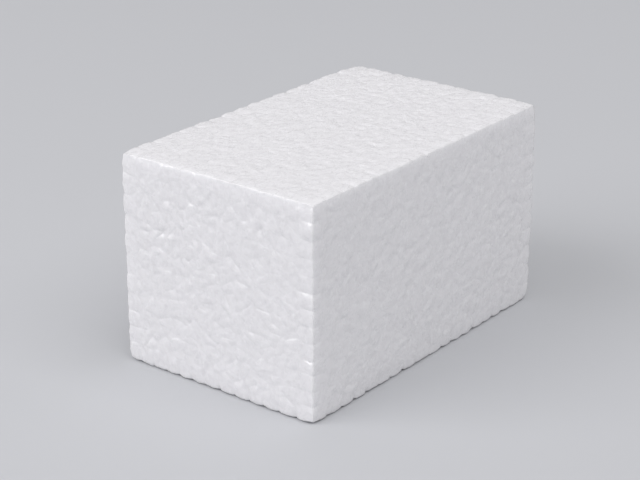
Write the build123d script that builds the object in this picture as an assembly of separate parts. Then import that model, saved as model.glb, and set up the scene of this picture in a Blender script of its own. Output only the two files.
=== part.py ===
from build123d import *
from itertools import combinations, product
import math
import os
import random

import numpy as np

# A plain block of white bead foam, moulded in one piece.
# The frame: +X along the length, +Y along the width, +Z up, origin in the middle of the underside.
# The beads fill the mould and press against its walls. Each one shows as a low cap on the block's skin,
# with a groove where it meets the next one, and the beads of an edge wrap it in a row of round nibs.

# Sizes, in millimetres.
block_length = 120.0
block_width = 75.0
block_height = 70.0
bead_pitch = 6.5  # between the middles of two beads
bead_stray = 4.0  # the most that a bead starts off its even place, before the beads push each other apart
groove_depth = 0.36  # from the crowns of the caps down to the grooves between them
pit_depth = 0.65  # of the pits where three beads didn't quite close up
edge_fall = 0.35  # how far a cap falls back where it wraps an edge, from each of the two sides
edge_notch = 0.7  # the same in the notch between two caps of an edge
corner_fall = 1.0  # how far the cap of a corner falls back, from each of the three sides
short_side = 0.8  # the outline of a cap has no side shorter than this

# Shares and counts, without a unit.
pit_share = 0.05  # of the places where three beads meet
crown_share = 0.65  # how far the flat crown of a cap reaches from its middle towards its nearest side
unevenness = 0.2  # of the depths of the grooves, notches and falls, either way
layer_reach = 1.3  # beads within so many pitches of a wall can touch it
neighbour_reach = 2.6  # beads within so many pitches of each other can share a groove
settling_rounds = 8
packing_seed = 11

axes = (0, 1, 2)
up = 2
low_corner = np.array([-block_length / 2, -block_width / 2, 0.0])
high_corner = np.array([block_length / 2, block_width / 2, block_height])
first_bead = low_corner + bead_pitch / 2
last_bead = high_corner - bead_pitch / 2
on_wall = 1e-5  # a point as near to a side of the block as this lies on it


# The packing: the middles of the beads that touch the mould.


def even_steps(span, step):
    """How many steps of about that size fill the span."""
    return max(1, round(span / step))


def edge_places(along):
    """Even places in the four edges that run along an axis, without their ends."""
    steps = even_steps(last_bead[along] - first_bead[along], bead_pitch)
    a, b = [axis for axis in axes if axis != along]
    for end_a in (first_bead[a], last_bead[a]):
        for end_b in (first_bead[b], last_bead[b]):
            for i in range(1, steps):
                place = np.zeros(3)
                place[a], place[b] = end_a, end_b
                place[along] = first_bead[along] + (last_bead[along] - first_bead[along]) * i / steps
                yield place


def side_places(facing):
    """Staggered rows over the two sides that face along an axis, inside their edge rows."""
    spans = last_bead - first_bead
    a, b = sorted((axis for axis in axes if axis != facing), key=lambda axis: -spans[axis])
    row_steps = even_steps(spans[b], bead_pitch * math.sqrt(3) / 2)
    steps = even_steps(spans[a], bead_pitch)
    for wall in (first_bead[facing], last_bead[facing]):
        for row in range(1, row_steps):
            stagger = 0.5 * (row % 2)
            for i in range(1 - row % 2, steps):
                place = np.zeros(3)
                place[facing] = wall
                place[b] = first_bead[b] + spans[b] * row / row_steps
                place[a] = first_bead[a] + spans[a] * (i + stagger) / steps
                yield place


def scattered_beads():
    """The place of every bead, and the axes along which it can move without leaving its walls."""
    chance = random.Random(packing_seed)
    middle_of_base = np.array([0.0, 0.0, first_bead[up]])
    places, free = [middle_of_base], [np.zeros(3)]
    for corner in product(*zip(first_bead, last_bead)):
        places.append(np.array(corner))
        free.append(np.zeros(3))
    for axis in axes:
        along = np.array([1.0 if other == axis else 0.0 for other in axes])
        for place in edge_places(axis):
            stray = chance.uniform(-bead_stray, bead_stray)
            places.append(place + stray * along)
            free.append(along)
        for place in side_places(axis):
            stray = np.array([chance.uniform(-bead_stray, bead_stray) for other in axes])
            places.append(place + stray * (1 - along))
            free.append(1 - along)
    return np.array(places), np.array(free)


def settled(places, free):
    """The places after beads nearer than the pitch have pushed each other apart along their walls."""
    for turn in range(settling_rounds):
        for i in range(len(places)):
            away = places[i] - places
            distance = np.linalg.norm(away, axis=1)
            near = (distance < bead_pitch) & (distance > on_wall)
            push = (bead_pitch - distance[near]) / distance[near]
            places[i] += (away[near] * push[:, None]).sum(axis=0) / 2 * free[i]
        places = np.clip(places, first_bead, last_bead)
    return places


# The outlines: where each bead's cap ends on the flat walls of the mould.


def nearer_part(outline, a, b, limit):
    """The part of a convex outline where a * x + b * y is under the limit."""
    kept = []
    for p, q in zip([outline[-1]] + outline[:-1], outline):
        over_p = a * p[0] + b * p[1] - limit
        over_q = a * q[0] + b * q[1] - limit
        if (over_p > 0) != (over_q > 0):
            share = over_p / (over_p - over_q)
            kept.append((p[0] + (q[0] - p[0]) * share, p[1] + (q[1] - p[1]) * share))
        if over_q <= 0:
            kept.append(q)
    return kept


def flat_outlines(facing, wall, beads):
    """The flat outlines of the caps on one wall, counter-clockwise: each place is its nearest bead's."""
    a, b = (facing + 1) % 3, (facing + 2) % 3
    low_a, low_b, high_a, high_b = low_corner[a], low_corner[b], high_corner[a], high_corner[b]
    layer = beads[np.abs(beads[:, facing] - wall) < layer_reach * bead_pitch]
    for bead in layer:
        outline = [(low_a, low_b), (high_a, low_b), (high_a, high_b), (low_a, high_b)]
        distance = np.linalg.norm(layer - bead, axis=1)
        bead_term = bead[a] ** 2 + bead[b] ** 2 + (bead[facing] - wall) ** 2
        for other in layer[(distance > on_wall) & (distance < neighbour_reach * bead_pitch)]:
            other_term = other[a] ** 2 + other[b] ** 2 + (other[facing] - wall) ** 2
            limit = (other_term - bead_term) / 2
            outline = nearer_part(outline, other[a] - bead[a], other[b] - bead[b], limit)
            if not outline:
                break
        if outline:
            points = [flat_point(facing, wall, x, y) for x, y in outline]
            yield points if wall == high_corner[facing] else points[::-1]


def flat_point(facing, wall, x, y):
    """A point of a wall from its two places on it, rounded so that neighbours share it exactly."""
    point = [0.0, 0.0, 0.0]
    point[facing] = float(wall)
    point[(facing + 1) % 3] = round(float(x), 7)
    point[(facing + 2) % 3] = round(float(y), 7)
    return tuple(point)


def walls_of(point):
    """The sides of the block that a point lies on, as pairs of an axis and the way inwards."""
    walls = []
    for axis in axes:
        if abs(point[axis] - low_corner[axis]) < on_wall:
            walls.append((axis, 1))
        if abs(point[axis] - high_corner[axis]) < on_wall:
            walls.append((axis, -1))
    return walls


def stand_ins(points):
    """One point to stand for each group that lies within a short side: corners and edges come first."""
    cells, chosen = {}, {}
    for point in sorted(points, key=lambda p: (-len(walls_of(p)), p)):
        i, j, k = (math.floor(x / short_side) for x in point)
        near = []
        for cell in product((i - 1, i, i + 1), (j - 1, j, j + 1), (k - 1, k, k + 1)):
            near += [other for other in cells.get(cell, []) if math.dist(point, other) < short_side]
        if near:
            chosen[point] = min(near, key=lambda other: math.dist(point, other))
        else:
            cells.setdefault((i, j, k), []).append(point)
            chosen[point] = point
    return chosen


def without_spikes(outline):
    """The outline without repeated points, and without sides that run out and straight back."""
    points = []
    for point in outline:
        if points and point == points[-1]:
            continue
        if len(points) > 1 and point == points[-2]:
            points.pop()
            continue
        points.append(point)
    while len(points) > 2 and points[0] == points[-1]:
        points.pop()
    return points


def with_edge_middles(outline):
    """The outline with a point in the middle of each side that runs along an edge of the block."""
    result = []
    for p, q in zip([outline[-1]] + outline[:-1], outline):
        shared = set(walls_of(p)) & set(walls_of(q))
        if len(shared) == 2 and math.dist(p, q) > 2 * short_side:
            result.append(tuple((min(p, q)[axis] + max(p, q)[axis]) / 2 for axis in axes))
        result.append(q)
    return result


# The skin: the same points at their depths, and a flat crown on each cap.


def sunk_points(outlines, flat_points):
    """Where each point of the flat outlines ends up once the caps have their form."""
    chance = random.Random(packing_seed)
    form = {}
    for point in sorted({point for outline in outlines for point in outline}):
        walls = walls_of(point)
        uneven = chance.uniform(1 - unevenness, 1 + unevenness)
        if len(walls) == 3:
            depth = corner_fall
        elif len(walls) == 2:
            depth = (edge_notch if point in flat_points else edge_fall) * uneven
        else:
            depth = pit_depth if chance.random() < pit_share else groove_depth * uneven
        place = list(point)
        for axis, inwards in walls:
            place[axis] += inwards * depth
        form[point] = tuple(place)
    return form


def facet(*points):
    return Face(Wire.make_polygon(points))


def crown_of(outline):
    """The three corners of a cap's flat crown, and which of them each point of the outline leans on."""
    corners = np.array(outline)
    middle = corners.mean(axis=0)
    spokes = corners - middle
    sides = np.roll(corners, -1, axis=0) - corners
    nearest_side = min(np.linalg.norm(np.cross(sides, spokes), axis=1) / np.linalg.norm(sides, axis=1))
    ways = spokes / np.linalg.norm(spokes, axis=1)[:, None]
    alike = ways @ ways.T
    trios = combinations(range(len(outline)), 3)
    widest = min(trios, key=lambda trio: max(alike[i, j] for i, j in combinations(trio, 2)))
    crown = [tuple(middle + crown_share * nearest_side * ways[i]) for i in widest]
    leaning = [crown[int(np.argmax(alike[i, widest]))] for i in range(len(outline))]
    return crown, leaning


def cap(outline, form):
    """The facets of one bead: they rise from the groove round it to its crown, pressed flat on the wall."""
    crown, leaning = crown_of(outline)
    facets = [facet(*crown)]
    for i in range(len(outline)):
        p, q = form[outline[i - 1]], form[outline[i]]
        facets.append(facet(p, q, leaning[i]))
        if leaning[i] != leaning[i - 1]:
            facets.append(facet(p, leaning[i], leaning[i - 1]))
    return facets


def bead_skin():
    """Every facet of the block's skin, side by side."""
    beads = settled(*scattered_beads())
    outlines = []
    for facing in axes:
        for wall in (low_corner[facing], high_corner[facing]):
            outlines += flat_outlines(facing, wall, beads)
    chosen = stand_ins({point for outline in outlines for point in outline})
    outlines = [without_spikes([chosen[point] for point in outline]) for outline in outlines]
    outlines = [outline for outline in outlines if len(outline) > 2]
    flat_points = set(chosen.values())
    outlines = [with_edge_middles(outline) for outline in outlines]
    form = sunk_points(outlines, flat_points)
    return [side for outline in outlines for side in cap(outline, form)]


foam_block = Solid(Shell(bead_skin()))

os.makedirs("parts", exist_ok=True)
export_step(foam_block, "parts/foam_block.step", write_pcurves=False)
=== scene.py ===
# White bead foam block on a plain studio floor
import math
import random
import bmesh
import bpy
from mathutils import Matrix, Vector


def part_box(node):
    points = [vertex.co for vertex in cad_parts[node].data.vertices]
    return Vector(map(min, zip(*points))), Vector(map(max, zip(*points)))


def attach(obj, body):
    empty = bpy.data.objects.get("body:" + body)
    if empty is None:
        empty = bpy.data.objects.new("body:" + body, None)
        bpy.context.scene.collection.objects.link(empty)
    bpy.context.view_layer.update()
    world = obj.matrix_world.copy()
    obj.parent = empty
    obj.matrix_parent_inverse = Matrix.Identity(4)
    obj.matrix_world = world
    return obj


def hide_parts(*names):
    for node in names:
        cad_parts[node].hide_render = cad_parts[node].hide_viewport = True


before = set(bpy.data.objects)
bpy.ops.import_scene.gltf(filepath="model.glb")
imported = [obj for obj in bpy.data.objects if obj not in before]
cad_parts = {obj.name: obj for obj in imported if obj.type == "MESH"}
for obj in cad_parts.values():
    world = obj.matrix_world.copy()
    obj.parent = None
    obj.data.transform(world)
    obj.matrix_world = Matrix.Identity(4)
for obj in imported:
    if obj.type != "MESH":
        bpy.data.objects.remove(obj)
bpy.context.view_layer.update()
print("packed block loaded")

scene = bpy.context.scene
scene.view_settings.view_transform = "Standard"


# The camera, where the photograph was taken from

cameraPlace = {
    "azimuth": -52.07,  # degrees
    "elevation": 22.01,
    "distance": 0.5729,
    "aimHeight": 0.035,
    "slideRight": -0.0054,
    "slideUp": -0.0037,
    "lens": 99.5,  # mm
    "sensor": 36,  # mm
    "clip": (0.01, 20),
}


def addCamera(place):
    azimuth = math.radians(place["azimuth"])
    elevation = math.radians(place["elevation"])
    level = Vector((math.sin(azimuth), -math.cos(azimuth), 0))
    back = level * math.cos(elevation) + Vector((0, 0, math.sin(elevation)))
    right = Vector((math.cos(azimuth), math.sin(azimuth), 0))
    up = back.cross(right)
    spot = Vector((0, 0, place["aimHeight"])) + back * place["distance"]
    spot += right * place["slideRight"] + up * place["slideUp"]
    data = bpy.data.cameras.new("camera")
    data.lens = place["lens"]
    data.sensor_width = place["sensor"]
    data.clip_start, data.clip_end = place["clip"]
    camera = bpy.data.objects.new("camera", data)
    scene.collection.objects.link(camera)
    camera.matrix_world = Matrix.Translation(spot) @ Matrix((right, up, back)).transposed().to_4x4()
    scene.camera = camera


# The bead skin, in metres

beadSkin = {
    "seed": 5,
    "samePoint": 0.000001,  # packed points as near as this are one
    "onWall": 0.000002,  # a packed point as near as this to a side of the block is a crown's corner
    "nearWall": 0.0013,  # a point between beads is as near as this to each side that it belongs to
    "shortSide": 0.0012,  # junctions as near as this become one
    "splitArea": 0.000030,  # square metres: a cap larger than this may be two beads side by side
    "splitShare": 0.75,
    "splitStray": 0.0006,
    "splitTurn": 0.5,  # radians either way
    "nearestCut": 0.0006,  # a cut as near to a junction as this goes through it
    "longGroove": 0.0025,  # a groove longer than this gets a point in its middle
    "sideShift": 0.00045,  # the most that a shifted point moves sideways
    "grooveKept": (0.4, 0.9),  # how much of its depth a groove has at each junction
    "shiftedKept": (0.2, 0.7),  # the same at each shifted point
    "notchKept": (0.7, 1.1),  # the same where a groove meets an edge of the block
    "nibKept": (0.05, 0.45),  # the same in the middle of a bead that wraps an edge
    "cornerKept": (0.65, 0.9),  # the same at the corners of the block
    "rimWidths": (0.00026, 0.00034, 0.00042),  # one for each bead
    "rimKept": (0.0, 0.35),  # how much of the groove's depth is left at the bead's rim
    "rimLimit": 0.85,  # the most that is left once the bead leans
    "lean": 0.03,  # radians, the most that a bead's crown leans
    "leanReach": 0.0025,  # a bead leans about a line this far from its middle
    "leastDepth": 0.0001,  # a groove counts as at least this deep when its bead leans
    "wrapWidth": 0.00024,  # of the rim of a bead that wraps an edge
    "wrapKept": (0.15, 0.45),  # how much of the notch's depth is left at that rim
    "edgeTight": 0.0012,  # how near to the block's edges its sides stay flat
    "edgeSnap": 0.0001,  # points as near as this to that cut are on it
    "smoothing": 1,
    "lumpSize": 0.0035,  # of the soft unevenness over the beads
    "lumpDepth": 0.00028,
    "dimpleSize": 0.0019,
    "dimpleDepth": 0.00055,
    "inwardShare": 0.8,  # of the lumps and dimples, so the block keeps its size
}


def wallGaps(spot, low, high):
    return [min(abs(spot[k] - low[k]), abs(spot[k] - high[k])) for k in range(3)]


def nearWalls(spot, low, high, settings):
    return [k for k, gap in enumerate(wallGaps(spot, low, high)) if gap < settings["nearWall"]]


def wallBy(spot, k, low, high):
    # the nearer of the block's two sides along one axis
    return low[k] if spot[k] - low[k] < high[k] - spot[k] else high[k]


def facingAxis(face):
    return max(range(3), key=lambda k: abs(face.normal[k]))


def beadFaces(node, low, high, settings):
    # one face for each bead on each side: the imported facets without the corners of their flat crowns
    bm = bmesh.new()
    bm.from_mesh(node.data)
    bmesh.ops.remove_doubles(bm, verts=bm.verts, dist=settings["samePoint"])
    crowns = [vert for vert in bm.verts if min(wallGaps(vert.co, low, high)) < settings["onWall"]]
    bmesh.ops.dissolve_verts(bm, verts=crowns)
    inner = [vert for vert in bm.verts if len(nearWalls(vert.co, low, high, settings)) == 1]
    bmesh.ops.remove_doubles(bm, verts=inner, dist=settings["shortSide"])
    bm.normal_update()
    bm.faces.index_update()
    return bm


def edgeBeads(bm):
    # groups of faces that belong to one bead because they meet on an edge of the block
    group = {}
    for edge in bm.edges:
        a, b = edge.link_faces
        if facingAxis(a) != facingAxis(b):
            joined = group.get(a, {a}) | group.get(b, {b})
            for face in joined:
                group[face] = joined
    seen, beads = set(), []
    for face in bm.faces:
        if face in group and face not in seen:
            beads.append(sorted(group[face], key=lambda other: other.index))
            seen |= group[face]
    return beads


def splitWideBeads(bm, settings, chance):
    # the widest caps become two smaller beads, across their longer way
    wrapping = {face for bead in edgeBeads(bm) for face in bead}
    for face in [face for face in bm.faces if face not in wrapping]:
        if face.calc_area() < settings["splitArea"] or chance.random() > settings["splitShare"]:
            continue
        middle = face.calc_center_median()
        far = max((vert.co - middle for vert in face.verts), key=lambda spoke: spoke.length)
        turn = Matrix.Rotation(chance.uniform(-1, 1) * settings["splitTurn"], 3, face.normal)
        across = (turn @ far).normalized()
        spot = middle + across * chance.uniform(-1, 1) * settings["splitStray"]
        geometry = [face] + face.edges[:] + face.verts[:]
        bmesh.ops.bisect_plane(bm, geom=geometry, dist=settings["nearestCut"], plane_co=spot, plane_no=across)
    bm.faces.index_update()


def shiftPoints(bm, settings, chance):
    # long grooves get a point in their middle, and then the points that come last in the mesh, new middles
    # and old junctions alike, shift sideways, so that the grooves are crooked; returns the shifted points
    settled = len(bm.verts)
    longOnes = []
    for edge in bm.edges:
        a, b = edge.link_faces
        if edge.calc_length() > settings["longGroove"] and facingAxis(a) == facingAxis(b):
            longOnes.append(edge)
    bmesh.ops.bisect_edges(bm, edges=longOnes, cuts=1)
    bm.verts.index_update()
    shifted = [vert for vert in bm.verts if vert.index >= settled]
    for vert in shifted:
        a, b = [vert.link_edges[i].other_vert(vert).co for i in (0, 1)]
        sideways = (a - b).normalized().cross(vert.link_faces[0].normal)
        vert.co += sideways * chance.uniform(-1, 1) * settings["sideShift"]
    return set(shifted)


def placeKind(vert, walls, shifted):
    if len(walls) == 3:
        return "cornerKept"
    if len(walls) == 2:
        return "nibKept" if len(vert.link_faces) < 4 else "notchKept"
    return "shiftedKept" if vert in shifted else "grooveKept"


def fillGrooves(bm, shifted, low, high, settings, chance):
    # the beads have fused more in some places than in others
    for vert in bm.verts:
        walls = nearWalls(vert.co, low, high, settings)
        kept = chance.uniform(*settings[placeKind(vert, walls, shifted)])
        for k in walls:
            wall = wallBy(vert.co, k, low, high)
            vert.co[k] = wall + (vert.co[k] - wall) * kept
    bm.normal_update()


def addRims(bm, faces, settings, chance):
    byWidth = [[] for width in settings["rimWidths"]]
    for face in faces:
        chance.choice(byWidth).append(face)
    for width, alike in zip(settings["rimWidths"], byWidth):
        bmesh.ops.inset_individual(bm, faces=alike, thickness=width)


def raiseCrown(face, low, high, settings, chance):
    # each bead rises from its grooves to a crown that the mould has pressed nearly flat
    kept = chance.uniform(*settings["rimKept"])
    lean = chance.uniform(0, settings["lean"])
    way = Matrix.Rotation(chance.uniform(0, 2 * math.pi), 3, face.normal) @ face.calc_tangent_edge()
    middle = face.calc_center_median()
    k = facingAxis(face)
    for vert in face.verts:
        wall = wallBy(vert.co, k, low, high)
        depth = vert.co[k] - wall
        leaning = lean * (settings["leanReach"] + (vert.co - middle).dot(way))
        left = min(kept + leaning / max(abs(depth), settings["leastDepth"]), settings["rimLimit"])
        vert.co[k] = wall + depth * left


def raiseWrap(bm, bead, low, high, settings, chance):
    # the same for a bead that wraps an edge or a corner of the block
    corners = [vert for face in bead for vert in face.verts]
    inside = {vert for vert in corners if all(face in bead for face in vert.link_faces)}
    bmesh.ops.inset_region(bm, faces=bead, thickness=settings["wrapWidth"])
    kept = chance.uniform(*settings["wrapKept"])
    rim = dict.fromkeys(vert for face in bead for vert in face.verts if vert not in inside)
    for vert in rim:
        for k in nearWalls(vert.co, low, high, settings):
            wall = wallBy(vert.co, k, low, high)
            vert.co[k] = wall + (vert.co[k] - wall) * kept


def raiseBeads(bm, low, high, settings, chance):
    wraps = edgeBeads(bm)
    wrapFaces = {face for bead in wraps for face in bead}
    flatBeads = [face for face in bm.faces if face not in wrapFaces]
    print("beads on the skin:", len(flatBeads) + len(wraps), "on the edges:", len(wraps))
    addRims(bm, flatBeads, settings, chance)
    for face in flatBeads:
        raiseCrown(face, low, high, settings, chance)
    for bead in wraps:
        raiseWrap(bm, bead, low, high, settings, chance)


def pressIntoMould(bm, low, high, settings):
    # nothing rises past the mould's walls, and a cut along each edge keeps it tight
    for vert in bm.verts:
        for k in range(3):
            vert.co[k] = min(max(vert.co[k], low[k]), high[k])
    for k in range(3):
        for wall, way in ((low[k], 1), (high[k], -1)):
            spot, across = Vector((0, 0, 0)), Vector((0, 0, 0))
            spot[k] = wall + way * settings["edgeTight"]
            across[k] = 1
            geometry = bm.verts[:] + bm.edges[:] + bm.faces[:]
            snap = settings["edgeSnap"]
            bmesh.ops.bisect_plane(bm, geom=geometry, dist=snap, plane_co=spot, plane_no=across)


def beadMesh(settings):
    low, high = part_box("foam_block")
    chance = random.Random(settings["seed"])
    bm = beadFaces(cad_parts["foam_block"], low, high, settings)
    splitWideBeads(bm, settings, chance)
    shifted = shiftPoints(bm, settings, chance)
    fillGrooves(bm, shifted, low, high, settings, chance)
    raiseBeads(bm, low, high, settings, chance)
    pressIntoMould(bm, low, high, settings)
    for face in bm.faces:
        face.smooth = True
    mesh = bpy.data.meshes.new("foamBlock")
    bm.to_mesh(mesh)
    bm.free()
    return mesh


def addLumps(piece, name, size, depth, inwardShare):
    texture = bpy.data.textures.new(name, "CLOUDS")
    texture.noise_scale = size
    texture.noise_depth = 1
    lumps = piece.modifiers.new(name, "DISPLACE")
    lumps.texture = texture
    lumps.texture_coords = "LOCAL"
    lumps.mid_level = inwardShare
    lumps.strength = depth


def makeBeadSkin(settings):
    piece = bpy.data.objects.new("foamBlock", beadMesh(settings))
    scene.collection.objects.link(piece)
    smoothing = piece.modifiers.new("roundBeads", "SUBSURF")
    smoothing.levels = settings["smoothing"]
    smoothing.render_levels = settings["smoothing"]
    addLumps(piece, "softLumps", settings["lumpSize"], settings["lumpDepth"], settings["inwardShare"])
    addLumps(piece, "dimples", settings["dimpleSize"], settings["dimpleDepth"], settings["inwardShare"])
    return piece


# The foam's finish

foamFinish = {
    "paleColour": (0.885, 0.88, 0.895, 1),
    "deepColour": (0.85, 0.845, 0.86, 1),
    "mottleNoise": (420, 3),  # scale and detail, as for the other noises
    "mottleSpread": (0.32, 0.5),
    "warpNoise": (260, 1),
    "warpReach": 0.0016,
    "creaseScale": 330,
    "creaseWidth": 0.35,
    "creaseBump": 0.00004,
    "grainNoise": (900, 2),
    "grainBump": 0.00003,
    "glossNoise": (500, 2),
    "glossSpread": (0.35, 0.65),
    "roughness": (0.18, 0.4),
    "refraction": 1.5,
    "glow": 0.7,  # how much of the light passes into the foam and out again
    "glowReach": 0.0022,
}


def link(tree, a, aSocket, b, bSocket):
    tree.links.new(a.outputs[aSocket], b.inputs[bSocket])


def addNoise(tree, place, scale, detail):
    noise = tree.nodes.new("ShaderNodeTexNoise")
    noise.inputs["Scale"].default_value = scale
    noise.inputs["Detail"].default_value = detail
    link(tree, place, "Object", noise, "Vector")
    return noise


def addSpread(tree, source, sourceSocket, fromEnds, toEnds):
    spread = tree.nodes.new("ShaderNodeMapRange")
    spread.inputs["From Min"].default_value = fromEnds[0]
    spread.inputs["From Max"].default_value = fromEnds[1]
    spread.inputs["To Min"].default_value = toEnds[0]
    spread.inputs["To Max"].default_value = toEnds[1]
    link(tree, source, sourceSocket, spread, "Value")
    return spread


def addBump(tree, source, sourceSocket, distance, before):
    bump = tree.nodes.new("ShaderNodeBump")
    bump.inputs["Distance"].default_value = distance
    link(tree, source, sourceSocket, bump, "Height")
    if before:
        link(tree, before, "Normal", bump, "Normal")
    return bump


def addMottle(tree, place, shader, settings):
    mottle = addNoise(tree, place, *settings["mottleNoise"])
    shade = addSpread(tree, mottle, "Fac", settings["mottleSpread"], (0, 1))
    colour = tree.nodes.new("ShaderNodeMix")
    colour.data_type = "RGBA"
    colour.inputs["A"].default_value = settings["deepColour"]
    colour.inputs["B"].default_value = settings["paleColour"]
    link(tree, shade, "Result", colour, "Factor")
    link(tree, colour, "Result", shader, "Base Color")


def addCreases(tree, place, settings):
    # fine crooked creases over the crowns
    warp = addNoise(tree, place, *settings["warpNoise"])
    bent = tree.nodes.new("ShaderNodeVectorMath")
    bent.operation = "MULTIPLY_ADD"
    bent.inputs[1].default_value = [settings["warpReach"]] * 3
    link(tree, warp, "Color", bent, 0)
    link(tree, place, "Object", bent, 2)
    creases = tree.nodes.new("ShaderNodeTexVoronoi")
    creases.feature = "DISTANCE_TO_EDGE"
    creases.inputs["Scale"].default_value = settings["creaseScale"]
    link(tree, bent, "Vector", creases, "Vector")
    rise = addSpread(tree, creases, "Distance", (0, settings["creaseWidth"]), (0, 1))
    return addBump(tree, rise, "Result", settings["creaseBump"], None)


def addRelief(tree, place, shader, settings):
    creases = addCreases(tree, place, settings)
    grain = addNoise(tree, place, *settings["grainNoise"])
    relief = addBump(tree, grain, "Fac", settings["grainBump"], creases)
    link(tree, relief, "Normal", shader, "Normal")


def addGloss(tree, place, shader, settings):
    gloss = addNoise(tree, place, *settings["glossNoise"])
    roughness = addSpread(tree, gloss, "Fac", settings["glossSpread"], settings["roughness"])
    link(tree, roughness, "Result", shader, "Roughness")


def foamMaterial(settings):
    material = bpy.data.materials.new("beadFoam")
    material.use_nodes = True
    tree = material.node_tree
    shader = tree.nodes["Principled BSDF"]
    shader.inputs["IOR"].default_value = settings["refraction"]
    shader.inputs["Subsurface Weight"].default_value = settings["glow"]
    shader.inputs["Subsurface Radius"].default_value = (1.0, 1.0, 1.0)
    shader.inputs["Subsurface Scale"].default_value = settings["glowReach"]
    place = tree.nodes.new("ShaderNodeTexCoord")
    addMottle(tree, place, shader, settings)
    addRelief(tree, place, shader, settings)
    addGloss(tree, place, shader, settings)
    return material


# The studio

studio = {
    "floorColour": (0.602, 0.612, 0.63, 1),
    "floorRoughness": 0.9,
    "floorShine": 0.1,
    "floorSize": 6,
    "ambient": 0.45,
    "ambientColour": (0.99, 0.985, 0.995, 1),
    "panelColour": (0.985, 0.975, 1.0),
    "panels": {  # the way to each, its distance, size and power
        "keyPanel": ((-0.69, 0.4, 0.6), 3.0, 2.3, 40.5),
        "sidePanel": ((-0.1, -0.45, 0.89), 3.0, 2.6, 34.0),
    },
    "glintPanel": ((-0.812, 0.57, 0.126), 1.2, 0.5, 6.0),
}


def addFloor(settings):
    bm = bmesh.new()
    bmesh.ops.create_grid(bm, x_segments=1, y_segments=1, size=settings["floorSize"] / 2)
    mesh = bpy.data.meshes.new("studioFloor")
    bm.to_mesh(mesh)
    bm.free()
    floor = bpy.data.objects.new("studioFloor", mesh)
    scene.collection.objects.link(floor)
    material = bpy.data.materials.new("paleFloor")
    material.use_nodes = True
    shader = material.node_tree.nodes["Principled BSDF"]
    shader.inputs["Base Color"].default_value = settings["floorColour"]
    shader.inputs["Roughness"].default_value = settings["floorRoughness"]
    shader.inputs["Specular IOR Level"].default_value = settings["floorShine"]
    floor.data.materials.append(material)


def addPanel(name, colour, way, distance, size, power):
    way = Vector(way).normalized()
    data = bpy.data.lights.new(name, "AREA")
    data.shape = "SQUARE"
    data.size = size
    data.energy = power
    data.color = colour
    panel = bpy.data.objects.new(name, data)
    scene.collection.objects.link(panel)
    panel.location = way * distance
    panel.rotation_euler = way.to_track_quat("Z", "Y").to_euler()
    return panel


def addLights(settings):
    world = bpy.data.worlds.new("studioAir")
    scene.world = world
    world.use_nodes = True
    background = world.node_tree.nodes["Background"]
    background.inputs["Color"].default_value = settings["ambientColour"]
    background.inputs["Strength"].default_value = settings["ambient"]
    for name, place in settings["panels"].items():
        addPanel(name, settings["panelColour"], *place)
    glint = addPanel("glintPanel", settings["panelColour"], *settings["glintPanel"])
    glint.visible_diffuse = False  # it shows only as glints on the rims of the beads


addCamera(cameraPlace)
foamBlock = makeBeadSkin(beadSkin)
foamBlock.data.materials.append(foamMaterial(foamFinish))
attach(foamBlock, "root")
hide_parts("foam_block")
print("bead skin made and finished")

addFloor(studio)
addLights(studio)
print("studio lit")
